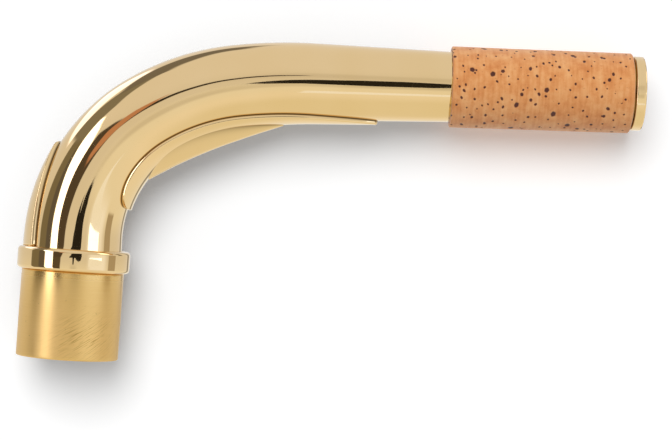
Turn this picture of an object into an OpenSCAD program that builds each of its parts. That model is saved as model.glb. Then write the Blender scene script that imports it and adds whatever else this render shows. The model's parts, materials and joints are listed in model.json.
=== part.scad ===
// Saxophone neck of the large, low-voiced kind: a conical brass tube bent through
// nearly a right angle, with a tenon at the body end and a cork at the mouthpiece end.
// The tenon's open end is centred on the origin, the tenon points down the Z axis
// and the mouthpiece end points along +X. The XZ plane is the mirror plane.

/* [Tenon] */
// Outer diameter of the tenon that slides into the body's socket
tenon_d = 24.5; // [24:0.1:32]
// Length of the tenon below the collar
tenon_len = 20.9; // [14:0.1:30]
// Depth to which the neck tube is let into the tenon, from the collar's top
tube_seat = 17; // [8:0.5:22]
// Wall of the tenon where it runs up inside the collar
spigot_wall = 0.5; // [0.3:0.05:0.6]

/* [Collar] */
// How far the collar stands out from the tenon
collar_step = 1.25; // [0.8:0.05:3]
// Height of the collar
collar_h = 5.3; // [4:0.1:9]
// Radius of the collar's rounded edges
collar_round = 0.9; // [0.2:0.05:1.2]

/* [Tube] */
// Outer diameter of the tube where it enters the tenon
tube_base_d = 22.7; // [18:0.1:23.2]
// Outer diameter of the tube at the mouthpiece end
tube_tip_d = 14.6; // [11:0.1:16]
// Wall thickness of the tube
tube_wall = 0.6; // [0.4:0.05:1]
// Length of the straight stretch between the collar and the bend
neck_rise = 2.7; // [0.5:0.1:20]
// Radius of the bend's first and tightest stretch, on the tube's centreline
bend1_r = 37.5; // [30:0.5:60]
// Angle turned by the first stretch
bend1_a = 55; // [40:0.5:60]
// Radius of the bend's middle stretch
bend2_r = 54; // [40:0.5:90]
// Angle turned by the middle stretch
bend2_a = 23.5; // [10:0.5:28]
// Radius of the bend's last and gentlest stretch
bend3_r = 115; // [80:1:200]
// Angle turned by the last stretch
bend3_a = 9.5; // [2:0.5:12]
// Length of the straight stretch that ends at the mouthpiece end
straight_len = 79; // [70:0.5:110]

/* [Cork] */
// Outer diameter of the cork
cork_d = 19.6; // [18:0.1:24]
// Length of the cork
cork_len = 43.3; // [30:0.1:55]
// Chamfer at both ends of the cork
cork_chamfer = 0.5; // [0.2:0.1:1]
// Thickness of the cement between the cork and the tube
cement_t = 0.12; // [0.05:0.01:0.3]
// How far the cement shows past the cork's ends
cement_show = 0.45; // [0.2:0.05:1]

/* [End ring] */
// Outer diameter of the ring at the mouthpiece end
ring_d = 17.9; // [16.5:0.1:19]
// Length of the ring
ring_len = 2.5; // [1.5:0.1:5]
// Radius of the ring's rounded edges
ring_round = 0.4; // [0.1:0.05:0.6]

/* [Guard plate on the outside of the bend] */
// Thickness of the guard plate
back_t = 0.95; // [0.8:0.05:2.5]
// Length of the guard plate along the tube, from the collar to its tip
back_len = 21.2; // [12:0.5:35]
// Half the angle that the guard plate covers at the collar
back_a = 40; // [25:1:60]

/* [Brace on the inside of the bend] */
// Thickness of the leaf-shaped saddle plate
saddle_t = 0.8; // [0.5:0.05:1.5]
// Place of the saddle's lower tip, along the centreline from the start of the bend
saddle_from = 10.9; // [6:0.1:18]
// Place of the saddle's widest point, from the start of the bend
saddle_wide = 31; // [26:0.5:40]
// Place of the saddle's upper tip, from the start of the bend
saddle_to = 92.7; // [75:0.1:96]
// Half the angle that the saddle covers at its widest point
saddle_a = 43.5; // [30:0.5:65]
// Place of the keel's lower end, from the start of the bend
keel_from = 23.8; // [19:0.1:27]
// Place of the keel's widest point, from the start of the bend
keel_wide = 39; // [35:0.5:47]
// Place of the keel's upper end, from the start of the bend
keel_to = 69.2; // [60:0.5:75]
// Half the keel's width at its widest point
keel_half_w = 5; // [2:0.1:7]
// How far the keel's free edge bows in towards the tube
keel_bow = 1; // [0:0.05:1.5]

/* [Hidden] */
$fn = 96;
solder = 0.12;          // gap that the solder fills under a plate
collar_fit = 0.05;      // gap between the collar and the sleeve inside it
tube_sides = 40;        // flats around the tube
bend_step = 5;          // angle between two rings of the bend
plate_rows = 16;        // rows of facets along each half of a plate
plate_cols = 10;        // facets across a plate
tip_flat = 0.001;       // keeps a leaf's tip from closing to a point
brass = [0.86, 0.74, 0.48];
raw_brass = [0.80, 0.66, 0.36];
cork_tan = [0.85, 0.58, 0.37];
amber = [0.55, 0.36, 0.14];

tenon_r = tenon_d / 2;
tube_base_r = tube_base_d / 2;
tube_tip_r = tube_tip_d / 2;
collar_top = tenon_len + collar_h;
collar_r = tenon_r + collar_step;
spigot_r = tube_base_r + spigot_wall;

// Lengths along the centreline at which its stretches end
s1 = collar_top + neck_rise;
s2 = s1 + bend1_r * bend1_a * PI / 180;
s3 = s2 + bend2_r * bend2_a * PI / 180;
s4 = s3 + bend3_r * bend3_a * PI / 180;
s_tip = s4 + straight_len;
s_seat = collar_top - tube_seat;
s_ring = s_tip - ring_len;
s_cork = s_ring - cement_show - cork_len;
// Lower tip, widest place and upper tip of the saddle and of the keel
saddle = [for (d = [saddle_from, saddle_wide, saddle_to]) s1 + d];
keel = [for (d = [keel_from, keel_wide, keel_to]) s1 + d];

// Angles turned away from the tenon's axis where the stretches end
t1 = bend1_a;
t2 = t1 + bend2_a;
t3 = t2 + bend3_a;

// Direction across the bend, towards its inside, once the tube has turned by a
function inward(a) = [cos(a), -sin(a)];
// Point reached by an arc of radius r that starts at p with turn a0 and ends with turn a
function arc_end(p, a0, a, r) = p + r * (inward(a0) - inward(a));

p1 = [0, s1];
p2 = arc_end(p1, 0, t1, bend1_r);
p3 = arc_end(p2, t1, t2, bend2_r);
p4 = arc_end(p3, t2, t3, bend3_r);

// Turn of the tube at the length s along its centreline
function turn(s) =
    s < s1 ? 0 :
    s < s2 ? (s - s1) / bend1_r * 180 / PI :
    s < s3 ? t1 + (s - s2) / bend2_r * 180 / PI :
    s < s4 ? t2 + (s - s3) / bend3_r * 180 / PI : t3;
// Point [x, z] of the centreline at the length s
function spot(s) =
    s < s1 ? [0, s] :
    s < s2 ? arc_end(p1, 0, turn(s), bend1_r) :
    s < s3 ? arc_end(p2, t1, turn(s), bend2_r) :
    s < s4 ? arc_end(p3, t2, turn(s), bend3_r) :
    p4 + (s - s4) * [sin(t3), cos(t3)];
// Outer radius of the tube: a cylinder inside the tenon, then an even cone
function tube_r(s) =
    tube_base_r + (tube_tip_r - tube_base_r) * max(0, s - collar_top) / (s_tip - collar_top);
// Point at the length s, the distance d from the centreline and the angle a
// around it, where a = 0 is the inside of the bend
function around(s, d, a) =
    let (p = spot(s) + d * cos(a) * inward(turn(s)))
    [p[0], d * sin(a), p[1]];
// Point at the length s, the distance d inward and the distance y to the side
function beside(s, d, y) =
    let (p = spot(s) + d * inward(turn(s)))
    [p[0], y, p[1]];
// Share of a leaf's greatest half-width: x runs from 0 at the widest
// place to 1 at the tip. A larger fullness keeps it wide for longer, and a larger
// blunt rounds its tip more
function leaf(x, fullness, blunt) = pow(max(1 - pow(x, fullness), tip_flat), 1 / blunt);
// Share of the way to a tip for row i of n, with the rows closer together at the tip
function to_tip(i, n) = sin(90 * i / n);

// Skin over closed rows of points. A wrapped skin joins its last row to its first;
// any other is closed by strips between the two long sides of its end rows.
module skin(rows, wrap = false) {
    n = len(rows[0]);
    k = len(rows);
    half = n / 2;
    last = (k - 1) * n;
    sides = [for (i = [0 : wrap ? k - 1 : k - 2], j = [0 : n - 1])
        let (a = i * n, b = (i + 1) % k * n, next = (j + 1) % n)
        [a + j, a + next, b + next, b + j]];
    ends = wrap ? [] : [for (j = [0 : half - 2]) each [
        [n - 1 - j, n - 2 - j, j + 1, j],
        [last + j, last + j + 1, last + n - 2 - j, last + n - 1 - j]]];
    polyhedron(points = [for (row = rows) each row], faces = concat(sides, ends));
}

// Ring of tube_sides points at the distance d from the centreline
function ring(s, d) = [for (i = [0 : tube_sides - 1]) around(s, d, 360 * i / tube_sides)];
// Lengths at which the tube has a ring of points
function stretch(from, to, angle) =
    let (n = ceil(angle / bend_step))
    [for (i = [0 : n - 1]) from + (to - from) * i / n];
stations = concat(
    [s_seat, collar_top], stretch(s1, s2, bend1_a), stretch(s2, s3, bend2_a),
    stretch(s3, s4, bend3_a), [s4, s_cork, s_tip]);

// Row across a plate that lies on the tube between two distances from the
// centreline, from -a to a around the angle mid
function plate_row(s, low, high, a, draft, mid) = concat(
    [for (j = [0 : plate_cols]) around(s, high, mid + (a - draft) * (2 * j / plate_cols - 1))],
    [for (j = [0 : plate_cols]) around(s, low, mid - a * (2 * j / plate_cols - 1))]);

// Solid disc with rounded rims
module rounded_disc(r, h, edge) {
    rotate_extrude() {
        square([r - edge, h]);
        translate([r - edge, edge]) square([edge, h - 2 * edge]);
        for (z = [edge, h - edge]) translate([r - edge, z]) circle(r = edge);
    }
}

// The conical tube, open at both ends
module neck_tube() {
    last = len(stations) - 1;
    rows = concat(
        [for (s = stations) ring(s, tube_r(s))],
        [for (i = [last : -1 : 0]) ring(stations[i], tube_r(stations[i]) - tube_wall)]);
    color(brass) skin(rows, wrap = true);
}

// The sleeve around the tube's large end, with a thinner neck inside the collar
module tenon_sleeve() {
    color(raw_brass) difference() {
        union() {
            cylinder(r = tenon_r, h = tenon_len);
            cylinder(r = spigot_r, h = collar_top - collar_fit);
        }
        translate([0, 0, -1])
            cylinder(r = tube_base_r - tube_wall, h = collar_top + 2);
        translate([0, 0, s_seat])
            cylinder(r = tube_base_r, h = tube_seat + 1);
    }
}

// The collar, a turned ring with rounded edges
module tenon_collar() {
    color(brass) translate([0, 0, tenon_len]) difference() {
        rounded_disc(collar_r, collar_h, collar_round);
        translate([0, 0, -1]) cylinder(r = spigot_r + collar_fit, h = collar_h + 2);
    }
}

// The guard plate: half a leaf whose flat end stands on the collar
module back_plate() {
    low = solder;
    from = collar_top + solder;
    draft = 3;
    rows = [for (i = [0 : plate_rows])
        let (
            x = to_tip(i, plate_rows),
            s = from + (back_len - solder) * x,
            a = back_a * leaf(x, 2, 2) + draft)
        plate_row(s, tube_r(s) + low, tube_r(s) + low + back_t * max(leaf(x, 8, 2), 0.25),
                  a, draft, 180)];
    color(brass) skin(rows);
}

// Share of a leaf's half-width at the length s. Here ends holds the lower tip, the
// widest place and the upper tip, while full and blunt hold the leaf's shape below and
// above the widest place.
function leaf_at(s, ends, full, blunt) =
    let (side = s < ends[1] ? 0 : 1)
    leaf(abs(s - ends[1]) / abs(ends[2 * side] - ends[1]), full[side], blunt[side]);
// Lengths of a leaf's rows, closer together at both tips
function leaf_rows(ends) = concat(
    [for (i = [plate_rows : -1 : 1]) ends[1] - (ends[1] - ends[0]) * to_tip(i, plate_rows)],
    [for (i = [0 : plate_rows]) ends[1] + (ends[2] - ends[1]) * to_tip(i, plate_rows)]);

// The saddle: a leaf that hugs the inside of the bend
module brace_saddle() {
    rows = [for (s = leaf_rows(saddle))
        let (low = tube_r(s) + solder, a = saddle_a * leaf_at(s, saddle, [2.5, 1.6], [4, 2.2]))
        plate_row(s, low, low + saddle_t, a, 0, 0)];
    color(brass) skin(rows);
}

// Distance from the centreline to the saddle's outer face
function saddle_top(s) = tube_r(s) + solder + saddle_t;
// The keel's free edge: the straight line between two points of the saddle, bowed
// a little towards the tube
keel_a = spot(keel[0]) + (saddle_top(keel[0]) + solder) * inward(turn(keel[0]));
keel_b = spot(keel[2]) + (saddle_top(keel[2]) + solder) * inward(turn(keel[2]));
keel_n = [keel_b[1] - keel_a[1], keel_a[0] - keel_b[0]];
function keel_edge(s) =
    let (x = (2 * s - keel[0] - keel[2]) / (keel[2] - keel[0]))
    ((keel_a - spot(s)) * keel_n) / (inward(turn(s)) * keel_n) - keel_bow * (1 - x * x);
// Row across the keel: an arch that stands on the saddle
function keel_row(s) =
    let (
        foot = saddle_top(s) + solder,
        edge = max(keel_edge(s), foot + 0.15),
        w = max(keel_half_w * leaf_at(s, keel, [2, 1.5], [2, 2]), 0.4),
        ys = [for (j = [0 : plate_cols]) w * (2 * j / plate_cols - 1)],
        feet = [for (y = ys) sqrt(foot * foot - y * y)])
    concat(
        [for (j = [0 : plate_cols])
            let (v = ys[j] / w)
            beside(s, feet[j] + (edge - foot) * (1 - v * v) + 0.1, ys[j])],
        [for (j = [plate_cols : -1 : 0]) beside(s, feet[j], ys[j])]);

// The keel: a web along the saddle's midline
module brace_keel() {
    color(brass) skin([for (s = leaf_rows(keel)) keel_row(s)]);
}

// Moves its children to the length s of the straight stretch, with Z along the tube
module along_tube(s) {
    p = spot(s);
    translate([p[0], 0, p[1]]) rotate([0, turn(s), 0]) children();
}
// Radius of the cement's outer face and of the cork's bore at the length s
function cement_r(s) = tube_r(s) + 0.02 + cement_t;

// The cork: a true cylinder outside, a cone inside
module cork_sleeve() {
    color(cork_tan) along_tube(s_cork) difference() {
        union() {
            cylinder(r1 = cork_d / 2 - cork_chamfer, r2 = cork_d / 2, h = cork_chamfer);
            translate([0, 0, cork_chamfer])
                cylinder(r = cork_d / 2, h = cork_len - 2 * cork_chamfer);
            translate([0, 0, cork_len - cork_chamfer])
                cylinder(r1 = cork_d / 2, r2 = cork_d / 2 - cork_chamfer, h = cork_chamfer);
        }
        translate([0, 0, -1])
            cylinder(
                r1 = cement_r(s_cork - 1) + 0.02, r2 = cement_r(s_cork + cork_len + 1) + 0.02,
                h = cork_len + 2);
    }
}

// The cement film under the cork
module cork_cement() {
    from = s_cork - cement_show;
    length = cork_len + 2 * cement_show - 0.05;
    color(amber) along_tube(from) difference() {
        cylinder(r1 = cement_r(from), r2 = cement_r(from + length), h = length);
        translate([0, 0, -1])
            cylinder(
                r1 = tube_r(from - 1) + 0.02, r2 = tube_r(from + length + 1) + 0.02,
                h = length + 2);
    }
}

// The ring around the tube's small end
module end_ring() {
    color(brass) along_tube(s_ring) difference() {
        rounded_disc(ring_d / 2, ring_len, ring_round);
        translate([0, 0, -1])
            cylinder(
                r1 = tube_r(s_ring - 1) + 0.02, r2 = tube_r(s_tip + 1) + 0.02,
                h = ring_len + 2);
    }
}

neck_tube();
tenon_sleeve();
tenon_collar();
back_plate();
brace_saddle();
brace_keel();
cork_sleeve();
cork_cement();
end_ring();
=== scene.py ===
# %% [markdown]
# # A saxophone neck in polished brass and cork
#
# A neck is the bent tube between a saxophone's body and its mouthpiece. This one is a plain
# large neck: a conical brass tube, a bare tenon with a collar, a guard plate on the outside
# of the bend, a brace on the inside, and a cork that the mouthpiece is pushed onto.
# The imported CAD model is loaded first. It fixes every size and place, and each new surface
# below stands where its CAD solid stands.

import json

import bpy
import numpy as np
from mathutils import Matrix, Vector


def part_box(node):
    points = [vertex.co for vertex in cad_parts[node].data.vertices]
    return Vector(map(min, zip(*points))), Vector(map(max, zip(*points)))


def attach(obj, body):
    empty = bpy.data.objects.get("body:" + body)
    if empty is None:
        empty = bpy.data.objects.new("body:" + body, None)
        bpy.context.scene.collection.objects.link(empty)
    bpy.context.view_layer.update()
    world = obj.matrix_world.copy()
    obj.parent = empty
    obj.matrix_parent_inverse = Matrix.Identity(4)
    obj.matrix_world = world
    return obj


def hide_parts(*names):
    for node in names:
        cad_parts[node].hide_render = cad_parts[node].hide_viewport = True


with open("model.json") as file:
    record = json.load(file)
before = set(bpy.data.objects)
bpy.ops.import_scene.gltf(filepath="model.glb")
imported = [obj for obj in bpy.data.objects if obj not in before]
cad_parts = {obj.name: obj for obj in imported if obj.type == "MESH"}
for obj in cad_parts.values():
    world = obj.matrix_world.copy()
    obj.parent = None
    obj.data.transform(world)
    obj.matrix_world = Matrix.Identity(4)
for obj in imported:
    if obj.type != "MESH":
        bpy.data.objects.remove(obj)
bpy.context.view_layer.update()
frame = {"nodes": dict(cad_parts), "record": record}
mounts = {m["name"]: m for m in frame["record"]["mounts"]}
print("nodes:", sorted(frame["nodes"]))

# %% [markdown]
# ## The neck's own measures
#
# A neck is drawn around one line, the middle of its bore. Here that line is straight inside
# the tenon, turns through three arcs that open out step by step, and ends in a straight
# run under the cork. Sizes that a CAD solid or a mount shows are read from it, and only the
# arcs, the taper and the wall are given again.

# %% Measures, in metres and radians
MM = 0.001
BENDS = ((37.5 * MM, np.radians(55)), (54 * MM, np.radians(23.5)), (115 * MM, np.radians(9.5)))
STRAIGHT = 79 * MM
NECK_RISE = 2.7 * MM
TUBE_BASE_R = 11.35 * MM
TUBE_TIP_R = 7.3 * MM
TUBE_WALL = 0.6 * MM
SEAT_DEPTH = 17 * MM
# Room that the CAD leaves for the solder under a plate
SOLDER = 0.12 * MM

TENON_R = mounts["tenon"]["dims"]["r_mm"] * MM
COLLAR_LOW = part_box("tenon_collar")[0].z
COLLAR_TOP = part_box("tenon_collar")[1].z
COLLAR_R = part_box("tenon_collar")[1].x
CORK_R = mounts["mouthpiece_cork"]["dims"]["r_mm"] * MM
RING_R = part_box("end_ring")[1].y

# Lengths along the middle line at which its stretches end
ENDS = np.cumsum([COLLAR_TOP + NECK_RISE] + [r * a for r, a in BENDS] + [STRAIGHT])
BEND_FOOT = ENDS[0]
TIP = ENDS[-1]
print("middle line %.1f mm long, collar %.1f mm across" % (TIP / MM, 2 * COLLAR_R / MM))


# %% The middle line
def turn(s):
    """How far the line has turned from upright at the length s: nothing in the tenon, then
    s over the radius in each arc."""
    s = np.asarray(s, float)
    total = np.zeros_like(s)
    for (radius, angle), start in zip(BENDS, ENDS):
        total = total + np.clip((s - start) / radius, 0, angle)
    return total


def middle(s):
    """Points of the line: the straight start, plus for each arc its radius times the change
    of the inward direction, plus the straight end along the last direction."""
    s = np.asarray(s, float)
    x = np.zeros_like(s)
    z = np.minimum(s, ENDS[0])
    turned = 0.0
    for (radius, angle), start in zip(BENDS, ENDS):
        here = turned + np.clip((s - start) / radius, 0, angle)
        x = x + radius * (np.cos(turned) - np.cos(here))
        z = z + radius * (np.sin(here) - np.sin(turned))
        turned = turned + angle
    beyond = np.maximum(s - ENDS[-2], 0)
    return np.stack([x + beyond * np.sin(turned), 0 * s, z + beyond * np.cos(turned)], -1)


def tube_r(s):
    """Outer radius of the tube: even inside the tenon, then a straight taper to the tip."""
    share = np.clip((np.asarray(s, float) - COLLAR_TOP) / (TIP - COLLAR_TOP), 0, None)
    return TUBE_BASE_R + (TUBE_TIP_R - TUBE_BASE_R) * share


def inward(s):
    """Direction across the line towards the inside of the bend: the line's own direction
    turned a quarter, so cosine of the turn along X and minus its sine along Z."""
    t = turn(s)
    return np.stack([np.cos(t), 0 * t, -np.sin(t)], -1)


def around(s, d, a):
    """Points at the distance d from the line and the angle a around it: the line's point,
    plus d cos a inward, plus d sin a towards +Y. Angle 0 is the inside of the bend."""
    s, d, a = np.broadcast_arrays(s, d, a)
    side = np.array([0.0, 1.0, 0.0])
    return middle(s) + (d * np.cos(a))[..., None] * inward(s) + (d * np.sin(a))[..., None] * side


# %% [markdown]
# ## From a grid of points to a piece
#
# Every new piece is a grid of points worked out by numpy. Its columns run once around the
# piece and join up. Its rows either join up as well, as on a tube with a wall, or end in
# two flat faces. Each point can carry a UV place in metres, so that brushing follows the
# metal, and marks such as how deep a pore is there.


# %% Grid to mesh
def make_piece(name, points, node, material, uv=None, wrap_rows=False, marks=None):
    """A closed piece from a (rows, columns, 3) grid: one quad between each four neighbours."""
    rows, cols = points.shape[:2]
    i, j = np.meshgrid(np.arange(rows if wrap_rows else rows - 1), np.arange(cols), indexing="ij")
    above, beside = (i + 1) % rows, (j + 1) % cols
    quads = np.stack([i * cols + j, i * cols + beside, above * cols + beside, above * cols + j], -1)
    faces = quads.reshape(-1, 4).tolist()
    if not wrap_rows:
        faces += [list(range(cols - 1, -1, -1)), list(range((rows - 1) * cols, rows * cols))]
    mesh = bpy.data.meshes.new(name)
    mesh.from_pydata(points.reshape(-1, 3).tolist(), [], faces)
    corners = np.zeros(len(mesh.loops), np.int32)
    mesh.loops.foreach_get("vertex_index", corners)
    if uv is not None:
        layer = mesh.uv_layers.new(name="UVMap")
        layer.data.foreach_set("uv", uv.reshape(-1, 2)[corners].astype(np.float32).ravel())
    for key, values in (marks or {}).items():
        mark = mesh.attributes.new(key, "FLOAT", "POINT")
        mark.data.foreach_set("value", np.broadcast_to(values, (rows, cols)).astype(np.float32).ravel())
    mesh.shade_smooth()
    mesh.materials.append(material)
    piece = bpy.data.objects.new(name, mesh)
    bpy.context.scene.collection.objects.link(piece)
    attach(piece, "root")
    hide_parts(node)
    low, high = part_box(node)
    flat = points.reshape(-1, 3)
    gap = max(np.abs(flat.min(0) - low).max(), np.abs(flat.max(0) - high).max())
    volume = np.einsum("ij,ij->", flat[quads[..., 0].ravel()], np.cross(
        flat[quads[..., 1].ravel()] - flat[quads[..., 0].ravel()],
        flat[quads[..., 2].ravel()] - flat[quads[..., 0].ravel()]))
    print("%s: %d faces, %.2f mm from its CAD box, faces %s" % (
        name, len(faces), gap / MM, "outward" if volume > 0 else "INWARD"))


# %% [markdown]
# ## Colours and nodes
#
# Colours are written as sRGB hex values, as a paint chart gives them, and turned to linear
# light once. One small function adds any node with its settings and links.


# %% Colour and node helpers
def linear(hex_colour):
    """sRGB hex to linear: values up to 0.04045 are divided by 12.92, the rest follow the
    2.4 power curve."""
    value = np.array([int(hex_colour[i : i + 2], 16) for i in (1, 3, 5)]) / 255
    curved = ((value + 0.055) / 1.055) ** 2.4
    return (*np.where(value <= 0.04045, value / 12.92, curved).tolist(), 1.0)


def add_node(tree, kind, inputs=None, **settings):
    """A node of that kind, with its properties set and each input given a value or a link."""
    node = tree.nodes.new(kind)
    for key, value in settings.items():
        setattr(node, key, value)
    for key, value in (inputs or {}).items():
        socket = node.inputs[key]
        if isinstance(value, bpy.types.NodeSocket):
            tree.links.new(value, socket)
        else:
            socket.default_value = value
    return node


def new_material(name):
    """An empty node material: itself, its tree and its shader."""
    material = bpy.data.materials.new(name)
    material.use_nodes = True
    return material, material.node_tree, material.node_tree.nodes["Principled BSDF"]


# %% [markdown]
# ## Lacquered brass
#
# Yellow brass, buffed to a mirror and sprayed with clear lacquer. To the eye it is a sharp,
# slightly pale gold mirror. Buffing by hand leaves the surface a little uneven over several
# millimetres, so straight reflections waver, and the lacquer carries a few hairlines. The
# waver is a slow bump and the hairlines are a fine stretched noise in the roughness.
# Inside the bore nobody buffs the tube, so there it is duller and browner. At a plate's foot
# the metal is painted nearly black, as painted shade for the shadow in the gap there.


# %% Lacquered brass
def lacquered_brass():
    """Metal whose tone wanders a little with the waver, browner where "inside" is 1, and
    nearly black where the mark of painted shade at a plate's foot is 1. Roughness is the hairlines plus
    0.3 times "inside"."""
    material, tree, shader = new_material("lacquered_brass")
    place = add_node(tree, "ShaderNodeTexCoord")
    waver = add_node(
        tree, "ShaderNodeTexNoise",
        {"Vector": place.outputs["Object"], "Scale": 1 / (11 * MM), "Detail": 1.0})
    hair_place = add_node(
        tree, "ShaderNodeMapping",
        {"Vector": place.outputs["Object"], "Scale": (1 / (0.5 * MM), 1 / (0.5 * MM), 1 / (6 * MM)),
         "Rotation": (0.3, 0.6, 0.2)})
    hairs = add_node(
        tree, "ShaderNodeTexNoise",
        {"Vector": hair_place.outputs["Vector"], "Scale": 1.0, "Detail": 3.0})
    inside = add_node(tree, "ShaderNodeAttribute", attribute_name="inside")
    gloss = add_node(
        tree, "ShaderNodeMapRange",
        {"Value": hairs.outputs["Fac"], "From Min": 0.4, "From Max": 0.75,
         "To Min": 0.03, "To Max": 0.07})
    dull = add_node(
        tree, "ShaderNodeMath", {0: inside.outputs["Fac"], 1: 0.3, 2: gloss.outputs["Result"]},
        operation="MULTIPLY_ADD")
    bump = add_node(
        tree, "ShaderNodeBump",
        {"Height": waver.outputs["Fac"], "Strength": 0.5, "Distance": 0.06 * MM})
    tone = add_node(
        tree, "ShaderNodeMix",
        {"Factor": waver.outputs["Fac"], "A": linear("#E9CB99"), "B": linear("#E5C58F")},
        data_type="RGBA")
    bore_tone = add_node(
        tree, "ShaderNodeMix",
        {"Factor": inside.outputs["Fac"], "A": tone.outputs["Result"], "B": linear("#B88F4E")},
        data_type="RGBA")
    crease_shade = add_node(tree, "ShaderNodeAttribute", attribute_name="crease_shade")
    # painted shade: the mark darkens the metal nearly to black at a plate's foot
    colour = add_node(
        tree, "ShaderNodeMix",
        {"Factor": crease_shade.outputs["Fac"], "A": bore_tone.outputs["Result"], "B": linear("#54401E")},
        data_type="RGBA")
    tree.links.new(colour.outputs["Result"], shader.inputs["Base Color"])
    tree.links.new(dull.outputs["Value"], shader.inputs["Roughness"])
    tree.links.new(bump.outputs["Normal"], shader.inputs["Normal"])
    shader.inputs["Metallic"].default_value = 1.0
    return material


LACQUERED = lacquered_brass()


# %% [markdown]
# ## Bare brass
#
# The tenon is left without lacquer, because it slides in the body's socket. It is turned on
# a lathe, so its fine grooves run around it and smear a reflection along the tenon and not
# across it. Sliding in and out has made it duller towards the open end. Handling has left
# specks of tarnish, and emery paper a patch of slanting scratches. Real grooves and emery
# scratches are finer than these, which are drawn as coarse as they need to be to show.


# %% Bare brass
def bare_brass():
    """Metal with its tangent along the UV's way around, rougher where "worn" is 1. Tarnish
    is the fine noise plus 0.35 times the coarse one, over a threshold, and the scratches are
    a stretched noise over a threshold, times the mark "scoured"."""
    material, tree, shader = new_material("bare_brass")
    uv = add_node(tree, "ShaderNodeTexCoord").outputs["UV"]
    place = add_node(tree, "ShaderNodeTexCoord").outputs["Object"]
    # turned grooves, 0.3 mm apart and 9 mm long
    turned_place = add_node(
        tree, "ShaderNodeMapping", {"Vector": uv, "Scale": (1 / (9 * MM), 1 / (0.3 * MM), 1.0)})
    turned = add_node(
        tree, "ShaderNodeTexNoise",
        {"Vector": turned_place.outputs["Vector"], "Scale": 1.0, "Detail": 3.0})
    # emery scratches, 0.22 mm wide and 4 mm long, slanting
    emery_place = add_node(
        tree, "ShaderNodeMapping",
        {"Vector": uv, "Rotation": (0, 0, np.radians(33)), "Scale": (4 * MM, 0.22 * MM, 1.0)},
        vector_type="TEXTURE")
    emery = add_node(
        tree, "ShaderNodeTexNoise",
        {"Vector": emery_place.outputs["Vector"], "Scale": 1.0, "Detail": 2.0})
    patch = add_node(tree, "ShaderNodeAttribute", attribute_name="scoured")
    # how rough: satin, rougher towards the open end
    worn = add_node(tree, "ShaderNodeAttribute", attribute_name="worn")
    rough = add_node(
        tree, "ShaderNodeMapRange",
        {"Value": worn.outputs["Fac"], "To Min": 0.20, "To Max": 0.46})
    specks = add_node(
        tree, "ShaderNodeTexNoise", {"Vector": place, "Scale": 1 / (0.55 * MM), "Detail": 2.0})
    clouds = add_node(
        tree, "ShaderNodeTexNoise", {"Vector": place, "Scale": 1 / (5 * MM), "Detail": 2.0})
    speck_level = add_node(
        tree, "ShaderNodeMath", {0: clouds.outputs["Fac"], 1: 0.35, 2: specks.outputs["Fac"]},
        operation="MULTIPLY_ADD")
    tarnish = add_node(
        tree, "ShaderNodeMapRange",
        {"Value": speck_level.outputs["Value"], "From Min": 0.90, "From Max": 1.0, "To Max": 0.6})
    scored = add_node(
        tree, "ShaderNodeMapRange",
        {"Value": emery.outputs["Fac"], "From Min": 0.52, "From Max": 0.68})
    scour = add_node(
        tree, "ShaderNodeMath", {0: scored.outputs["Result"], 1: patch.outputs["Fac"]},
        operation="MULTIPLY")
    tone = add_node(
        tree, "ShaderNodeMix",
        {"Factor": turned.outputs["Fac"], "A": linear("#E3BE7C"), "B": linear("#DDB56E")},
        data_type="RGBA")
    speckled = add_node(
        tree, "ShaderNodeMix",
        {"Factor": tarnish.outputs["Result"], "A": tone.outputs["Result"], "B": linear("#9A7638")},
        data_type="RGBA")
    scoured = add_node(
        tree, "ShaderNodeMix",
        {"Factor": scour.outputs["Value"], "A": speckled.outputs["Result"], "B": linear("#A9803C")},
        data_type="RGBA")
    heights = add_node(
        tree, "ShaderNodeMath", {0: scour.outputs["Value"], 1: -1.0, 2: turned.outputs["Fac"]},
        operation="MULTIPLY_ADD")
    bump = add_node(
        tree, "ShaderNodeBump",
        {"Height": heights.outputs["Value"], "Strength": 0.4, "Distance": 0.003 * MM})
    tangent = add_node(tree, "ShaderNodeTangent", direction_type="UV_MAP", uv_map="UVMap")
    tree.links.new(scoured.outputs["Result"], shader.inputs["Base Color"])
    tree.links.new(rough.outputs["Result"], shader.inputs["Roughness"])
    tree.links.new(bump.outputs["Normal"], shader.inputs["Normal"])
    tree.links.new(tangent.outputs["Tangent"], shader.inputs["Tangent"])
    shader.inputs["Metallic"].default_value = 1.0
    shader.inputs["Anisotropic"].default_value = 0.2
    shader.inputs["Anisotropic Rotation"].default_value = 0.25
    return material


BARE = bare_brass()


# %% [markdown]
# ## Cork
#
# Neck cork is natural sheet cork, wrapped round the tube and sanded. It is matt and warm
# tan, mottled over about a millimetre, with faint lines around it from the sanding. The
# sheet is cut across the bark's pores, which show as brown pits, and those are part of
# the mesh: the finish only darkens what the mesh has sunk.


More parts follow.
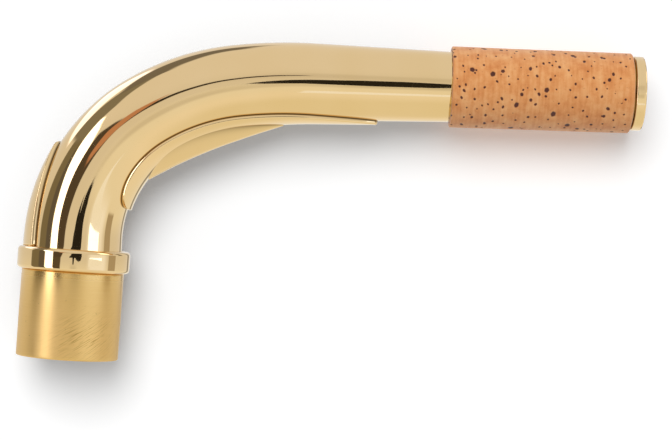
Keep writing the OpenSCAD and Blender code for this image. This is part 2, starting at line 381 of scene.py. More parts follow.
# %% Cork
def sanded_cork():
    """Matt tan whose tone follows the mottle plus 0.6 times the sanding lines, with darker
    flecks where the grain's noise is high, and brown where the mark "pore" is deep."""
    material, tree, shader = new_material("sanded_cork")
    uv = add_node(tree, "ShaderNodeTexCoord").outputs["UV"]
    place = add_node(tree, "ShaderNodeTexCoord").outputs["Object"]
    mottle = add_node(
        tree, "ShaderNodeTexNoise",
        {"Vector": place, "Scale": 1 / (3.2 * MM), "Detail": 5.0, "Roughness": 0.62})
    sand_place = add_node(
        tree, "ShaderNodeMapping", {"Vector": uv, "Scale": (1 / (8 * MM), 1 / (0.8 * MM), 1.0)})
    sanding = add_node(
        tree, "ShaderNodeTexNoise",
        {"Vector": sand_place.outputs["Vector"], "Scale": 1.0, "Detail": 3.0})
    grains = add_node(
        tree, "ShaderNodeTexNoise", {"Vector": place, "Scale": 1 / (0.5 * MM), "Detail": 3.0})
    level = add_node(
        tree, "ShaderNodeMath", {0: sanding.outputs["Fac"], 1: 0.6, 2: mottle.outputs["Fac"]},
        operation="MULTIPLY_ADD")
    tones = add_node(tree, "ShaderNodeValToRGB", {"Fac": level.outputs["Value"]})
    ramp = tones.color_ramp
    ramp.elements[0].position, ramp.elements[0].color = 0.58, linear("#CB8046")
    ramp.elements[1].position, ramp.elements[1].color = 1.0, linear("#E3A76E")
    middle_tone = ramp.elements.new(0.79)
    middle_tone.color = linear("#DA955A")
    flecks = add_node(
        tree, "ShaderNodeMapRange",
        {"Value": grains.outputs["Fac"], "From Min": 0.64, "From Max": 0.74, "To Max": 0.45})
    flecked = add_node(
        tree, "ShaderNodeMix",
        {"Factor": flecks.outputs["Result"], "A": tones.outputs["Color"], "B": linear("#A85F38")},
        data_type="RGBA")
    pore = add_node(tree, "ShaderNodeAttribute", attribute_name="pore")
    pored = add_node(
        tree, "ShaderNodeMapRange",
        {"Value": pore.outputs["Fac"], "From Min": 0.30, "From Max": 0.52})
    pore_tone = add_node(
        tree, "ShaderNodeMix",
        {"Factor": mottle.outputs["Fac"], "A": linear("#30160F"), "B": linear("#68382A")},
        data_type="RGBA")
    colour = add_node(
        tree, "ShaderNodeMix",
        {"Factor": pored.outputs["Result"], "A": flecked.outputs["Result"],
         "B": pore_tone.outputs["Result"]},
        data_type="RGBA")
    bump = add_node(
        tree, "ShaderNodeBump",
        {"Height": grains.outputs["Fac"], "Strength": 0.35, "Distance": 0.05 * MM})
    tree.links.new(colour.outputs["Result"], shader.inputs["Base Color"])
    tree.links.new(bump.outputs["Normal"], shader.inputs["Normal"])
    shader.inputs["Roughness"].default_value = 0.75
    shader.inputs["Specular IOR Level"].default_value = 0.35
    shader.inputs["Sheen Weight"].default_value = 0.25
    return material


CORK = sanded_cork()


# %% [markdown]
# ## Cement
#
# The cork is stuck on with shellac or contact cement. Where it squeezes out it dries to a
# glossy amber bead, thin in one place and running in another. Real shellac lets light
# through, but a bead this thin shows the brass under it, so a glossy amber does as well.


# %% Cement
def amber_cement():
    """Glossy amber, brown to yellow with a noise 3 mm coarse."""
    material, tree, shader = new_material("amber_cement")
    place = add_node(tree, "ShaderNodeTexCoord").outputs["Object"]
    runs = add_node(tree, "ShaderNodeTexNoise", {"Vector": place, "Scale": 1 / (3 * MM), "Detail": 2.0})
    tones = add_node(tree, "ShaderNodeValToRGB", {"Fac": runs.outputs["Fac"]})
    tones.color_ramp.elements[0].position, tones.color_ramp.elements[0].color = 0.38, linear("#8A5220")
    tones.color_ramp.elements[1].position, tones.color_ramp.elements[1].color = 0.58, linear("#E0A846")
    tree.links.new(tones.outputs["Color"], shader.inputs["Base Color"])
    shader.inputs["Roughness"].default_value = 0.18
    shader.inputs["IOR"].default_value = 1.52
    shader.inputs["Specular IOR Level"].default_value = 0.5
    return material


CEMENT = amber_cement()

# %% [markdown]
# ## The tube
#
# The tube is drawn over mandrels and bent full of pitch, so its skin is one smooth surface.
# One grid runs up the outside from the foot in the tenon to the tip, over the rim, back down
# the bore and around the foot.


# %% Tube
def ring_angles(sides):
    """Angles of the columns, evenly spaced once around."""
    return np.linspace(0, 2 * np.pi, sides, endpoint=False)


def shell(s, radius, sides):
    """A grid of rings at the lengths s with the given radii, and its UV in metres: the way
    around is the angle times the mean radius, the way along is s."""
    a = ring_angles(sides)[None, :]
    points = around(s[:, None], radius[:, None], a)
    return points, np.stack(np.broadcast_arrays(a * radius.mean(), s[:, None]), -1)


TUBE_RIM = 0.12 * MM


def build_tube():
    """Rings of the tube's radius up the outside, and of that less the wall down the bore.
    The rim between them is broken by a small flat."""
    up = np.linspace(COLLAR_TOP - SEAT_DEPTH, TIP - TUBE_RIM, 300)
    s = np.concatenate([up, [TIP, TIP], up[::-1]])
    outer = tube_r(s)
    is_bore = np.arange(len(s)) > len(up)
    radius = outer - TUBE_WALL * is_bore
    radius[len(up)] -= TUBE_RIM
    radius[len(up) + 1] += TUBE_RIM
    points, uv = shell(s, radius, 144)
    make_piece(
        "tube_skin", points, "neck_tube", LACQUERED,
        uv=uv, wrap_rows=True, marks={"inside": is_bore[:, None] * 1.0})


build_tube()

# %% [markdown]
# ## Turned pieces: tenon, collar and end ring
#
# These three are turned on a lathe, so each is a closed outline of radius and length that
# is carried once around the middle line. The collar and the ring have rounded edges. The
# outline is thickened with points where it turns, because the light catches the edges.


# %% Outlines for turned pieces
def rounded_outline(outer, inner, low, high, edge, steps=8):
    """(radius, length) around a ring: up its bore, then a quarter circle of the edge radius
    at the upper and at the lower outer corner."""
    t = np.linspace(0, np.pi / 2, steps)
    up_r = outer - edge + edge * np.sin(t)
    up_s = high - edge + edge * np.cos(t)
    down_r = up_r[::-1]
    down_s = low + edge - edge * np.cos(t[::-1])
    radius = np.concatenate([[inner, inner], up_r, down_r])
    length = np.concatenate([[low, high], up_s, down_s])
    return radius, length


def finer(values, step):
    """Points added along each straight stretch of a closed outline, no further apart than
    step: each stretch is cut into equal shares."""
    radius, length = values
    out_r, out_s = [], []
    for k in range(len(radius)):
        r0, s0 = radius[k], length[k]
        r1, s1 = radius[(k + 1) % len(radius)], length[(k + 1) % len(radius)]
        n = max(1, int(np.ceil(np.hypot(r1 - r0, s1 - s0) / step)))
        share = np.arange(n) / n
        out_r.append(r0 + (r1 - r0) * share)
        out_s.append(s0 + (s1 - s0) * share)
    return np.concatenate(out_r), np.concatenate(out_s)


def turned_piece(name, outline, node):
    """The outline carried around the middle line in 160 steps. Its points are taken in
    reverse, so that the faces look outward."""
    radius, length = outline
    points, uv = shell(length[::-1], radius[::-1], 160)
    make_piece(name, points, node, LACQUERED, uv=uv, wrap_rows=True)


# %% Collar
COLLAR_BORE = TUBE_BASE_R + 0.55 * MM
COLLAR_ROUND = 0.9 * MM
turned_piece(
    "collar_band", rounded_outline(COLLAR_R, COLLAR_BORE, COLLAR_LOW, COLLAR_TOP, COLLAR_ROUND),
    "tenon_collar")

# %% Tenon
TENON_EDGE = 0.12 * MM
SPIGOT_GAP = 0.05 * MM
# The emery patch: the middle's angle and height, its reach around and its reach along
PATCH = (np.radians(-62), 5.5 * MM, 7 * MM, 5 * MM)


def build_tenon():
    """The sleeve's outline: its bore, the seat that the tube stands in, the spigot under
    the collar, and the bare outside. The emery patch falls off as a bell in both ways, and
    the wear is 1 less the fourth power of the way up to the collar."""
    bore = TUBE_BASE_R - TUBE_WALL
    seat_r = TUBE_BASE_R + 0.02 * MM
    spigot, top = COLLAR_BORE - SPIGOT_GAP, COLLAR_TOP - SPIGOT_GAP
    seat = COLLAR_TOP - SEAT_DEPTH
    radius, length = finer((
        np.array([bore + TENON_EDGE, bore, bore, seat_r, seat_r,
                  spigot, spigot, TENON_R, TENON_R, TENON_R - TENON_EDGE]),
        np.array([0, TENON_EDGE, seat, seat, top,
                  top, COLLAR_LOW, COLLAR_LOW, TENON_EDGE, 0])), 0.6 * MM)
    a = ring_angles(200)[None, :]
    r, s = radius[::-1, None], length[::-1, None]
    points = around(s, r, a)
    uv = np.stack(np.broadcast_arrays(a * TENON_R, s), -1)
    at_a, at_s, reach_a, reach_s = PATCH
    off = np.angle(np.exp(1j * (a - at_a))) * TENON_R / reach_a
    patch = np.exp(-(off**2) - ((s - at_s) / reach_s) ** 2) * (r > TENON_R - MM)
    worn = 1 - np.clip(s / COLLAR_LOW, 0, 1) ** 4 + 0 * a
    make_piece(
        "tenon_turned", points, "tenon_sleeve", BARE,
        uv=uv, wrap_rows=True, marks={"scoured": patch, "worn": worn})


build_tenon()

# %% End ring
RING_LEN = 2.5 * MM
RING_BORE = TUBE_TIP_R + 0.04 * MM
RING_ROUND = 0.4 * MM
turned_piece(
    "mouth_ring",
    finer(rounded_outline(RING_R, RING_BORE, TIP - RING_LEN, TIP, RING_ROUND), 0.5 * MM),
    "end_ring")

# %% [markdown]
# ## Plates on the bend
#
# The guard plate and the brace's saddle are pressed from sheet, filed to a leaf, and
# soldered to the tube. Seen from outside such a plate is a leaf with a rounded edge that
# follows the tube. The grid crosses the plate from edge to edge and comes back underneath,
# with its rows closer together at the tips and its columns closer at the edges.


# %% Leaf-shaped plates
CREASE_FROM = 0.9


def leaf(x, fullness, blunt):
    """Share of the greatest half-width, x being 0 at the widest place and 1 at the tip:
    the blunt-th root of 1 minus x to the power of the fullness."""
    return np.maximum(1 - np.abs(x) ** fullness, 0.0003) ** (1 / blunt)


def to_tip(n):
    """Shares of the way to a tip for n rows: the sine of an evenly growing angle."""
    return np.sin(np.linspace(0, np.pi / 2, n))


def edge_share(from_side, from_end):
    """Way over a rounded edge: the length of the two ways together, each running from 0
    where the rounding starts to 1 at the very edge."""
    return np.minimum(np.hypot(np.clip(from_side, 0, 1), np.clip(from_end, 0, 1)), 1)


def crease_shading(share):
    """Painted shade at a plate's foot: nothing until 0.9 of the way over the
    edge, then evenly up to full."""
    return np.clip((share - CREASE_FROM) / (1 - CREASE_FROM), 0, 1)


def plate_grid(s, half_angle, low, rise, mid, cols, edge, end_share):
    """Plate between the distances low and low plus rise from the middle line: the upper
    face crosses from one side to the other and the lower face comes back."""
    v = np.sin(np.linspace(-np.pi / 2, np.pi / 2, cols))[None, :]
    s, half_angle, low, rise = (q[:, None] for q in (s, half_angle, low, rise))
    reach = np.minimum(1, edge / (half_angle * low))
    share = edge_share((np.abs(v) - 1 + reach) / reach, end_share[:, None])
    height = np.sqrt(1 - share**2)
    top = around(s, low + rise * height, mid + half_angle * v)
    bottom = around(s, low + 0 * v, mid + half_angle * v)[:, ::-1]
    # painted shade at the plate's foot, on the upper face only
    crease_shade = np.concatenate([crease_shading(share), 0 * share[:, 1:-1]], 1)
    return np.concatenate([top, bottom[:, 1:-1]], 1), crease_shade


def leaf_rows(ends, n):
    """Lengths of the rows from tip to tip of a leaf, which is widest at the middle one of
    its three ends: the way to each tip times the shares above."""
    below = ends[1] - (ends[1] - ends[0]) * to_tip(n)[:0:-1]
    above = ends[1] + (ends[2] - ends[1]) * to_tip(n)
    return np.concatenate([below, above])


def leaf_share(s, ends):
    """Way from the widest place to the tip on its own side, from 0 to 1."""
    down, up = (ends[1] - s) / (ends[1] - ends[0]), (s - ends[1]) / (ends[2] - ends[1])
    return np.where(s < ends[1], down, up)


# How far a plate is let into the solder under it
SUNK = 0.06 * MM
print("a plate's foot is %.2f mm under the tube's skin" % (SUNK / MM))

# %% Guard plate
GUARD_LEN = 21.2 * MM
GUARD_T = 0.95 * MM
GUARD_HALF = np.radians(40)
GUARD_DRAFT = np.radians(3)
GUARD_EDGE = 0.55 * MM
GUARD_END = 0.055
GUARD_LIFT = 0.05 * MM


def build_guard():
    """Half a leaf that stands on the collar with its tip up: half of an ellipse in its
    angle, and a little wider at the foot."""
    x = to_tip(60)
    s = COLLAR_TOP + GUARD_LIFT + (GUARD_LEN - GUARD_LIFT) * x
    half = GUARD_HALF * leaf(x, 2, 2) + GUARD_DRAFT * (1 - x**6)
    rise = (GUARD_T + SUNK + SOLDER) * np.ones_like(s)
    end = (x - 1 + GUARD_END) / GUARD_END
    grid, crease_shade = plate_grid(s, half, tube_r(s) - SUNK, rise, np.pi, 61, GUARD_EDGE, end)
    make_piece(
        "guard_plate", grid, "back_plate", LACQUERED, marks={"crease_shade": crease_shade})


build_guard()

# %% Saddle of the brace
SADDLE = BEND_FOOT + np.array([10.9, 31, 92.7]) * MM
SADDLE_T = 0.8 * MM
SADDLE_HALF = np.radians(43.5)
SADDLE_EDGE = 0.45 * MM


def saddle_half(s):
    """Half-angle covered by the saddle: a leaf, fuller and blunter below its widest place."""
    below = s < SADDLE[1]
    fullness, blunt = np.where(below, 2.5, 1.6), np.where(below, 4, 2.2)
    return SADDLE_HALF * leaf(leaf_share(s, SADDLE), fullness, blunt)


def build_saddle():
    """The leaf on the inside of the bend, whose edge is rounded over the same width at its
    sides and at its tips."""
    s = leaf_rows(SADDLE, 90)
    x = leaf_share(s, SADDLE)
    end_reach = SADDLE_EDGE / np.where(s < SADDLE[1], SADDLE[1] - SADDLE[0], SADDLE[2] - SADDLE[1])
    end = (x - 1 + end_reach) / end_reach
    rise = (SADDLE_T + SOLDER + SUNK) * np.ones_like(s)
    grid, crease_shade = plate_grid(
        s, saddle_half(s), tube_r(s) - SUNK, rise, 0, 81, SADDLE_EDGE, end)
    make_piece(
        "brace_leaf", grid, "brace_saddle", LACQUERED, marks={"crease_shade": crease_shade})


build_saddle()

# %% [markdown]
# ## The keel of the brace
#
# The keel is a pressed ridge on the saddle that stiffens the bend. Its free edge is nearly
# the straight line between two places on the saddle. At its lower end it runs out into the
# saddle, and towards the upper end its foot is a clean crease, so the ridge's cross-section
# changes from a bell to an arch on the way.

# %% Keel
KEEL = BEND_FOOT + np.array([23.8, 39, 69.2]) * MM
KEEL_HALF_W = 5 * MM
KEEL_BOW = 1.0 * MM
KEEL_LIFT = 0.12 * MM
KEEL_UNDER = 0.2 * MM


def saddle_face(s):
    """Distance from the middle line to the saddle's outer face."""
    return tube_r(s) + SOLDER + SADDLE_T


def keel_edge(s):
    """Distance to the keel's free edge: where the ray inward from the line meets the chord
    between the keel's ends, less a bow that is greatest halfway."""
    first, last = (
        (middle(q) + (saddle_face(q) + KEEL_LIFT) * inward(q)) for q in (KEEL[0], KEEL[2]))
    along = last - first
    normal = np.array([along[2], 0, -along[0]])
    x = (2 * s - KEEL[0] - KEEL[2]) / (KEEL[2] - KEEL[0])
    return ((first - middle(s)) @ normal) / (inward(s) @ normal) - KEEL_BOW * (1 - x**2)


def build_keel():
    """Across the ridge the height is 1 minus the square of the way out, to a power that
    falls from 2.1, a bell, at the lower end to 1, an arch, at the upper end. The width
    follows a leaf, and the underside lies a little below the saddle's face."""
    s = leaf_rows(KEEL, 60)
    x = leaf_share(s, KEEL)
    foot = saddle_face(s) - SUNK
    edge = np.maximum(keel_edge(s) + 0.1 * MM, foot + 0.02 * MM)
    half = np.maximum(KEEL_HALF_W * leaf(x, np.where(s < KEEL[1], 2, 1.5), 2), 0.15 * MM)
    share = (s - KEEL[0]) / (KEEL[2] - KEEL[0])
    bell = (2.1 - 1.1 * share)[:, None]
    v = np.sin(np.linspace(-np.pi / 2, np.pi / 2, 61))[None, :]
    y = half[:, None] * v
    feet = np.sqrt(foot[:, None] ** 2 - y**2)
    top = feet + (edge - foot)[:, None] * (1 - v**2) ** bell
    side = np.array([0.0, 1.0, 0.0])
    upper = middle(s)[:, None] + top[..., None] * inward(s)[:, None] + y[..., None] * side
    low = feet - KEEL_UNDER
    under = middle(s)[:, None] + low[..., None] * inward(s)[:, None] + y[..., None] * side
    grid = np.concatenate([upper, under[:, ::-1]], 1)
    # painted shade along the keel's foot on both sides, growing towards its upper end
    crease_shade = np.concatenate([np.abs(v) ** 6 * share[:, None], 0 * y], 1)
    make_piece(
        "brace_ridge", grid, "brace_keel", LACQUERED, marks={"crease_shade": crease_shade})


build_keel()

# %% [markdown]
# ## The cork
#
# The cork is a sleeve with slightly broken edges. Its pores are real pits: each one is a
# small oval, pressed a tenth or two of a millimetre into the grid, and most lie slightly
# longer around the cork than along it. Their places are drawn at random from a fixed seed.

# %% Cork sleeve
CORK_LEN = 43.3 * MM
CORK_FROM = TIP - RING_LEN - 0.45 * MM - CORK_LEN
CORK_EDGE = 0.2 * MM
CORK_TAPER = 0.15 * MM
CORK_SWELL = 0.03 * MM
CORK_BORE_GAP = 0.16 * MM

# Pores: cells of the net along and around, usual size and its spread, limits of the size,
# share of empty cells, and depth
PORE_NET = (18, 26)
PORE_SIZE, PORE_SPREAD = 0.28, 0.36
PORE_LEAST, PORE_MOST = 0.13, 0.60
PORE_EMPTY = 0.15
PORE_DEPTH = 0.16 * MM
PORE_EDGE = 0.4


def pores(s, a, rng):
    """How far into a pore each point lies: 1 in its middle, 0.4 on its edge, and 0 well
    outside. It is 1 minus 0.6 times the distance from the nearest pore's middle, measured in
    that pore's own half-axes. There is at most one pore in each cell of an even net,
    somewhere inside the cell, and two waves make its outline ragged."""
    depth = np.zeros(np.broadcast_shapes(s.shape, a.shape))
    rows, cols = PORE_NET
    for row, col in np.ndindex(rows, cols):
        at_s = CORK_FROM + CORK_LEN * (row + rng.uniform(0, 1)) / rows
        at_a = 2 * np.pi * (col + rng.uniform(0, 1)) / cols
        size = np.clip(rng.lognormal(np.log(PORE_SIZE), PORE_SPREAD), PORE_LEAST, PORE_MOST) * MM
        stretch = rng.uniform(1.0, 1.45)
        tilt = rng.normal(0, 0.4)
        ripple = rng.uniform(0, 2 * np.pi, 2)
        if rng.uniform() < PORE_EMPTY:
            continue
        along = s - at_s
        across = np.angle(np.exp(1j * (a - at_a))) * CORK_R
        p = along * np.cos(tilt) + across * np.sin(tilt)
        q = across * np.cos(tilt) - along * np.sin(tilt)
        round_it = np.arctan2(q, p)
        ragged = 1 + 0.07 * np.sin(2 * round_it + ripple[0]) + 0.06 * np.sin(5 * round_it + ripple[1])
        away = np.hypot(p / size, q / (size * stretch)) / ragged
        depth = np.maximum(depth, 1 - away * (1 - PORE_EDGE))
    return depth


def build_cork():
    """The outside is the cork's radius less the taper, the broken edge, the pores and a
    gentle swelling, and the bore is a plain cone."""
    rng = np.random.default_rng(7)
    bevel = np.linspace(0, 1, 4)[:-1]
    body = np.linspace(CORK_EDGE, CORK_LEN - CORK_EDGE, 250)
    along = np.concatenate([CORK_EDGE * bevel, body, CORK_LEN - CORK_EDGE * bevel[::-1]])
    off = np.concatenate([CORK_EDGE * (1 - bevel), 0 * body, CORK_EDGE * (1 - bevel[::-1])])
    s = (CORK_FROM + along)[:, None]
    a = ring_angles(380)[None, :]
    pore = pores(s, a, rng)
    sink = PORE_DEPTH * np.clip((pore - 0.3) / 0.4, 0, 1)
    swell = CORK_SWELL * np.sin(2 * a + 1) * np.sin(s / (9 * MM))
    taper = CORK_TAPER * (s - CORK_FROM) / CORK_LEN
    outer = around(s, CORK_R - taper - off[:, None] - sink - np.abs(swell), a)
    bore_s = np.array([CORK_FROM + CORK_LEN, CORK_FROM])[:, None]
    bore = around(bore_s, tube_r(bore_s) + CORK_BORE_GAP, a)
    grid = np.concatenate([outer, bore])
    uv_s = np.concatenate([s, bore_s])
    uv = np.stack(np.broadcast_arrays(a * CORK_R, uv_s), -1)
    marks = {"pore": np.concatenate([pore, 0 * bore[..., 0]])}
    print("pores cover %.1f%% of the cork" % (100 * np.mean(pore > PORE_EDGE)))
    make_piece("cork_wrap", grid, "cork_sleeve", CORK, uv=uv, wrap_rows=True, marks=marks)


build_cork()

# %% [markdown]
# ## The cement
#
# Under the cork the cement is a thin film, and it shows only where it has squeezed out: a
# bead at each end whose width and height wander around the tube.


# %% Cement film and beads
def wander(a, rng):
    """A smooth value between 0 and 1 that changes around the tube: a sum of four waves
    with random phases, each divided by the root of its number, brought into range."""
    waves = sum(np.sin(k * a + rng.uniform(0, 2 * np.pi)) / k**0.5 for k in (1, 2, 3, 5))
    return (waves - waves.min()) / np.ptp(waves)


def build_cement():
    """A quarter wave at each end. The near bead is as high as its width allows, and the far
    one fills the groove between the cork and the ring."""
    rng = np.random.default_rng(11)
    a = ring_angles(180)[None, :]
    near, far = 0.15 + 0.35 * wander(a, rng), 0.35 + 0.10 * wander(a, rng)
    end = CORK_FROM + CORK_LEN
    bead = np.linspace(0, np.pi / 2, 6)[:, None]
    first_s = CORK_FROM - near * MM * np.cos(bead)
    first_r = tube_r(first_s) + (0.04 + 0.30 * near) * MM * np.sin(bead)
    last_s = end + far * MM * np.sin(bead)
    last_r = tube_r(last_s) + (3.0 * far + 0.2) * MM * (0.4 + 0.6 * np.cos(bead))
    s = np.concatenate([first_s, last_s])
    r = np.concatenate([first_r, last_r])
    inner = np.concatenate([last_s[-1:], first_s[:1]])
    points = np.concatenate([around(s, r, a), around(inner, tube_r(inner) - 0.05 * MM, a)])
    make_piece("cement_beads", points, "cork_cement", CEMENT, wrap_rows=True)


build_cement()

# %% [markdown]
# ## Camera
#
# The neck is shown lying on its side, looked down on from straight above, so the camera
# stands on the -Y side with a long lens and is rolled a few degrees.

# %% Camera
CAMERA_AT = Vector((62.55, -460, 37.6)) * MM
ROLL = np.radians(4.1)
LENS, SENSOR = 101.9, 36
camera_data = bpy.data.cameras.new("camera")
camera_data.lens = LENS
camera_data.sensor_width = SENSOR
camera_data.clip_start, camera_data.clip_end = 0.05, 20
camera = bpy.data.objects.new("camera", camera_data)
bpy.context.scene.collection.objects.link(camera)
right = Vector((np.cos(ROLL), 0, np.sin(ROLL)))
back = Vector((0, -1, 0))
up = back.cross(right)
camera.matrix_world = Matrix.Translation(CAMERA_AT) @ Matrix((right, up, back)).transposed().to_4x4()
bpy.context.scene.camera = camera
print("the camera sees %.0f mm across at the neck" % (-CAMERA_AT.y / MM * SENSOR / LENS))

# %% [markdown]
# ## Table
#
# The table is a white sheet behind the neck, touching the collar. It shows white to the
# camera and keeps the neck's soft shadow. It has one side only, so the neck can also be
# looked at from behind, and it stays out of the reflections, which the chart below paints.
# A faint glow of its own brings the open table up to white.

# %% Table
TABLE_HALF = 3.0
TABLE_Y = COLLAR_R + 0.05 * MM
TABLE_GLOW = 0.09


def white_table():
    """Matt white plus the glow on the front, and clear on the back."""
    material = bpy.data.materials.new("white_table")
    material.use_nodes = True
    tree = material.node_tree
    tree.nodes.clear()
    matt = add_node(tree, "ShaderNodeBsdfDiffuse", {"Color": linear("#FFFFFF")})
    glow = add_node(tree, "ShaderNodeEmission", {"Strength": TABLE_GLOW})
    both = add_node(tree, "ShaderNodeAddShader", {0: matt.outputs[0], 1: glow.outputs[0]})
    clear = add_node(tree, "ShaderNodeBsdfTransparent")
    facing = add_node(tree, "ShaderNodeNewGeometry")
    one_sided = add_node(
        tree, "ShaderNodeMixShader",
        {0: facing.outputs["Backfacing"], 1: both.outputs[0], 2: clear.outputs[0]})
    add_node(tree, "ShaderNodeOutputMaterial", {"Surface": one_sided.outputs[0]})
    return material


table_mesh = bpy.data.meshes.new("table")
table_corners = [
    (x * TABLE_HALF, TABLE_Y, z * TABLE_HALF) for x, z in ((-1, -1), (1, -1), (1, 1), (-1, 1))]
table_mesh.from_pydata(table_corners, [], [(0, 1, 2, 3)])
table_mesh.materials.append(white_table())
table = bpy.data.objects.new("table", table_mesh)
bpy.context.scene.collection.objects.link(table)
table.visible_glossy = False
table.visible_diffuse = False
table.visible_shadow = False

# %% [markdown]
# ## Light
#
# A sheet facing the camera gets a little more than half of its light from one large soft
# lamp at the upper left, and the rest evenly from all around. It then shows its colour about
# as it is written. The lamp has no image of its own in the metal.

# %% Key lamp
LAMP_AIM = Vector((0.14, 1, -0.42))
LAMP_LEVEL = 1.85
LAMP_SPREAD = np.radians(40)
lamp_data = bpy.data.lights.new("soft_lamp", "SUN")
lamp_data.energy = LAMP_LEVEL
lamp_data.angle = LAMP_SPREAD
lamp = bpy.data.objects.new("soft_lamp", lamp_data)
bpy.context.scene.collection.objects.link(lamp)
lamp.rotation_mode = "QUATERNION"
lamp.rotation_quaternion = LAMP_AIM.to_track_quat("-Z", "Y")
lamp.visible_glossy = False
print("the lamp gives %.2f on a sheet facing the camera" % (
    LAMP_LEVEL / np.pi * LAMP_AIM.normalized().y))

# %% [markdown]
# ## What the brass reflects
#
# Polished metal has no look of its own: it shows the room. The room is drawn as a chart of
# directions, with the way round (0 towards the camera, minus to the left) and the height,
# both in degrees. Pale walls fill it, and on them hang the things a table-top studio has:
# a tall strip light with a black flag beside it, a grey stand and its boom, an orange lamp
# stand, and bright and dim panes. Each card is a convex outline on the chart with soft
# edges, and a card that isn't convex is hung in two or three parts.

# %% Chart of directions
world = bpy.data.worlds.new("studio")
bpy.context.scene.world = world
world.use_nodes = True
sky = world.node_tree
sky.nodes.clear()
direction = add_node(sky, "ShaderNodeTexCoord").outputs["Generated"]
parts = add_node(sky, "ShaderNodeSeparateXYZ", {0: direction})
ahead = add_node(sky, "ShaderNodeMath", {0: parts.outputs["Y"], 1: -1.0}, operation="MULTIPLY")
way = add_node(sky, "ShaderNodeMath", {0: parts.outputs["X"], 1: ahead.outputs[0]}, operation="ARCTAN2")
rise = add_node(sky, "ShaderNodeMath", {0: parts.outputs["Z"]}, operation="ARCSINE")
way_deg = add_node(sky, "ShaderNodeMath", {0: way.outputs[0]}, operation="DEGREES")
rise_deg = add_node(sky, "ShaderNodeMath", {0: rise.outputs[0]}, operation="DEGREES")
chart = add_node(
    sky, "ShaderNodeCombineXYZ", {"X": way_deg.outputs[0], "Y": rise_deg.outputs[0]}).outputs[0]


def level(value, start, stop, below, above):
    """Colour that goes from below to above as the value goes smoothly from start to stop."""
    share = add_node(
        sky, "ShaderNodeMapRange", {"Value": value, "From Min": start, "From Max": stop},
        interpolation_type="SMOOTHSTEP")
    return add_node(
        sky, "ShaderNodeMix", {"Factor": share.outputs["Result"], "A": below, "B": above},
        data_type="RGBA").outputs["Result"]


def hang(picture, corners, soft, colour):
    """The picture with one card on it. The card's share is the product, over its edges, of
    a smooth step in the distance from that edge, and its corners run counter-clockwise."""
    share = None
    for (x0, y0), (x1, y1) in zip(corners, corners[1:] + corners[:1]):
        length = np.hypot(x1 - x0, y1 - y0)
        normal = ((y0 - y1) / length, (x1 - x0) / length, 0)
        at = normal[0] * x0 + normal[1] * y0
        distance = add_node(sky, "ShaderNodeVectorMath", {0: chart, 1: normal}, operation="DOT_PRODUCT")
        step = add_node(
            sky, "ShaderNodeMapRange",
            {"Value": distance.outputs["Value"], "From Min": at - soft / 2, "From Max": at + soft / 2},
            interpolation_type="SMOOTHSTEP").outputs["Result"]
        if share is not None:
            step = add_node(sky, "ShaderNodeMath", {0: share, 1: step}, operation="MULTIPLY").outputs[0]
        share = step
    return add_node(
        sky, "ShaderNodeMix", {"Factor": share, "A": picture, "B": (*colour, 1.0)},
        data_type="RGBA").outputs["Result"]


# %% The room
rise_out = rise_deg.outputs[0]
picture = level(rise_out, -65, -38, (0.93, 0.91, 0.78, 1), (1.02, 1.01, 0.95, 1))
picture = level(rise_out, -42, -18, picture, (0.98, 1.0, 0.97, 1))
picture = level(rise_out, -12, 2, picture, (0.84, 0.85, 0.86, 1))
picture = level(rise_out, 8, 40, picture, (0.89, 0.90, 0.93, 1))

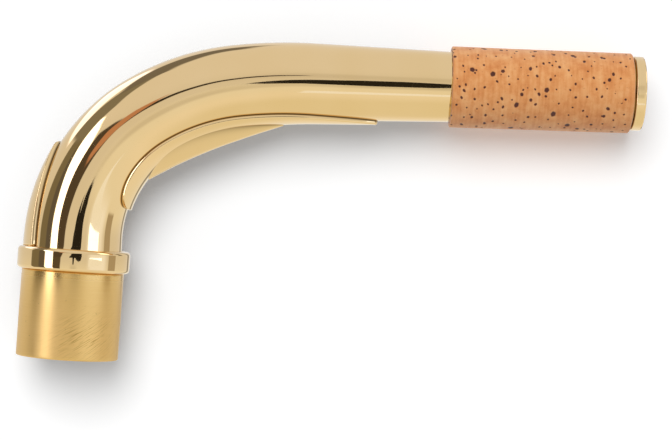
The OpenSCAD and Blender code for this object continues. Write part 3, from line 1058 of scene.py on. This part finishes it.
CARDS = (
    # a dim patch above and one below the camera
    ([(-1, 8), (12, 8), (12, 21), (-1, 21)], 7, (0.76, 0.76, 0.76)),
    ([(1, -17), (13, -17), (13, -5), (1, -5)], 8, (0.78, 0.78, 0.75)),
    # the grey stand on the left, darker beside the light, and the boom that leans back from it
    ([(-88, -30), (-55, -30), (-55, 8), (-60, 22), (-66, 38), (-88, 30)], 3, (0.23, 0.21, 0.15)),
    ([(-68, -30), (-54, -30), (-54, 8), (-57, 20), (-63, 27), (-68, 27)], 3, (0.14, 0.13, 0.12)),
    ([(-104, 30), (-64, 30), (-64, 44), (-78, 55), (-96, 62), (-110, 60)], 3, (0.27, 0.26, 0.22)),
    ([(-172, 48), (-140, 46), (-96, 50), (-92, 63), (-125, 66), (-160, 62)], 4, (0.22, 0.21, 0.20)),
    # light from the window behind on the left
    ([(-148, 27), (-103, 27), (-106, 37), (-122, 48), (-140, 46), (-150, 38)], 3, (1.9, 2.0, 2.6)),
    # the strip light, in two convex parts
    ([(-53, -30), (-36.5, -30), (-34.5, 8), (-35.5, 18), (-39.5, 24), (-48, 31), (-53, 20)],
     2, (3.6, 3.7, 4.3)),
    ([(-53, 11), (-47, 14), (-44, 28), (-58, 37.5), (-64, 38), (-63.5, 29), (-58.5, 19)],
     2, (3.4, 3.6, 4.3)),
    # the black flag beside it, in two convex parts, and the cable that runs off it
    ([(-36, -30), (-21, -30), (-19, 2), (-36, 14)], 1.5, (0.12, 0.10, 0.07)),
    ([(-36, 1), (-19, 1), (-15.5, 4.5), (-13, 10), (-12.5, 14), (-20, 20), (-26, 23), (-37, 25)],
     1.5, (0.10, 0.08, 0.06)),
    ([(-14, 11.2), (-3, 12.2), (1, 13), (1.5, 14.5), (-1, 15.8), (-14, 17)], 1.0, (0.05, 0.04, 0.03)),
    # the orange lamp stand
    ([(-24.8, 13.5), (-20, 10), (-14, 10.5), (-10.5, 14), (-11, 19.5), (-18, 20.5), (-24.5, 19)],
     1.5, (0.62, 0.32, 0.20)),
    # a warm bright wall low on the right, and the wedge of a bright pane above it
    ([(38, -14), (76, -14), (76, 8), (38, 8)], 14, (1.12, 1.22, 1.45)),
    ([(39.5, -2.9), (46.7, -2.0), (46.7, 2), (39.5, 2)], 0.3, (2.2, 2.6, 3.3)),
    ([(46.3, -2.0), (53.2, -1.3), (53.2, 2), (46.3, 2)], 0.3, (2.2, 2.6, 3.3)),
    ([(52.8, -1.3), (66, -0.8), (66, 2), (52.8, 2)], 0.3, (2.2, 2.6, 3.3)),
    # a dim doorway further right
    ([(83, -11.5), (102, -11.5), (102, 8), (83, 8)], 2.5, (0.50, 0.45, 0.36)),
    # a soft box high on the right and a dark gap behind, for other views
    ([(66, 24), (96, 24), (92, 52), (70, 52)], 3, (2.4, 2.4, 2.5)),
    ([(112, 8), (126, 8), (124, 60), (114, 60)], 3, (0.25, 0.24, 0.21)),
    ([(150, -40), (160, -40), (160, 40), (150, 40)], 4, (0.35, 0.34, 0.31)),
)
for corners, soft, colour in CARDS:
    picture = hang(picture, corners, soft, colour)
print("%d cards hang in the room" % len(CARDS))

# %% [markdown]
# ## Who sees the room
#
# Only the metal sees the chart. The camera sees plain white past the table's edge, and matt
# surfaces get an even light, dimmer from the lamp's side and brighter from behind, so that
# the neck's back isn't dark. Light that reaches the table by way of the brass stays dim and
# bluish, which keeps the shadow a plain grey.

# %% World output
front = level(parts.outputs["Y"], -0.2, 0.2, (0.45, 0.45, 0.45, 1), (0.92, 0.92, 0.92, 1))
path = add_node(sky, "ShaderNodeLightPath")
seen = add_node(
    sky, "ShaderNodeMath", {0: path.outputs["Is Camera Ray"], 1: path.outputs["Is Transmission Ray"]},
    operation="MAXIMUM")
lit = add_node(
    sky, "ShaderNodeMix", {"Factor": path.outputs["Is Glossy Ray"], "A": front, "B": picture},
    data_type="RGBA")
after_matt = add_node(
    sky, "ShaderNodeMath", {0: path.outputs["Diffuse Depth"], 1: 0.5}, operation="GREATER_THAN")
by_way = add_node(
    sky, "ShaderNodeMath", {0: after_matt.outputs[0], 1: path.outputs["Is Glossy Ray"]},
    operation="MULTIPLY")
dimmed = add_node(
    sky, "ShaderNodeMix",
    {"Factor": by_way.outputs[0], "A": lit.outputs["Result"], "B": (0.03, 0.06, 0.16, 1)},
    data_type="RGBA")
shown = add_node(
    sky, "ShaderNodeMix",
    {"Factor": seen.outputs[0], "A": dimmed.outputs["Result"], "B": (1, 1, 1, 1)}, data_type="RGBA")
ground = add_node(sky, "ShaderNodeBackground", {"Color": shown.outputs["Result"], "Strength": 1.0})
add_node(sky, "ShaderNodeOutputWorld", {"Surface": ground.outputs[0]})

# %% [markdown]
# ## Cards close to the neck
#
# A chart of directions holds only what is far away. A camera's hood, its strap and a pale
# screen hang close over the table-top, so each shows in one stretch of the tube and not in
# the next. They are three small cards with their own place, seen in reflections only.


# %% Near cards
def near_card(name, outline, distance, colour):
    """A flat glowing card at that distance in front of the middle line. The outline is
    (x, z) in millimetres."""
    material = bpy.data.materials.new(name)
    material.use_nodes = True
    tree = material.node_tree
    tree.nodes.clear()
    glow = add_node(tree, "ShaderNodeEmission", {"Color": colour, "Strength": 1.0})
    add_node(tree, "ShaderNodeOutputMaterial", {"Surface": glow.outputs[0]})
    mesh = bpy.data.meshes.new(name)
    corners = [(x * MM, -distance, z * MM) for x, z in outline]
    mesh.from_pydata(corners, [], [tuple(range(len(outline)))])
    mesh.materials.append(material)
    card = bpy.data.objects.new(name, mesh)
    bpy.context.scene.collection.objects.link(card)
    for kind in ("camera", "diffuse", "transmission", "shadow", "volume_scatter"):
        setattr(card, "visible_" + kind, False)


HOOD = (
    (45, 59), (46, 53), (54, 32), (62, 23), (75, 18), (90, 14), (115, 18), (126, 40),
    (126, 75), (118, 95), (100, 103), (85, 98), (70, 86), (58, 76), (50, 68))
STRAP = (
    (8, 17), (11, 17), (11.5, 25.9), (26.5, 25.8), (25.5, 27.3), (22.4, 28.8), (20, 29.3),
    (16.5, 31.6), (14.8, 34), (13, 35.5), (12.5, 38.3), (10, 37), (7.2, 35.2), (6.5, 33),
    (4, 31.5), (2.5, 29.3), (-1, 27.1), (-1.5, 25.8), (7, 25.9))
SCREEN = ((58, 13), (165, 13), (165, 22.8), (110, 25.4), (58, 26.5))
NEARLY_BLACK = linear("#2C2A26")
near_card("camera_hood", HOOD, 300 * MM, NEARLY_BLACK)
near_card("camera_strap", STRAP, 80 * MM, NEARLY_BLACK)
near_card("low_screen", SCREEN, 80.5 * MM, (1.1, 1.2, 1.4, 1))

# %% Finish
scene = bpy.context.scene
scene.view_settings.view_transform = "Standard"
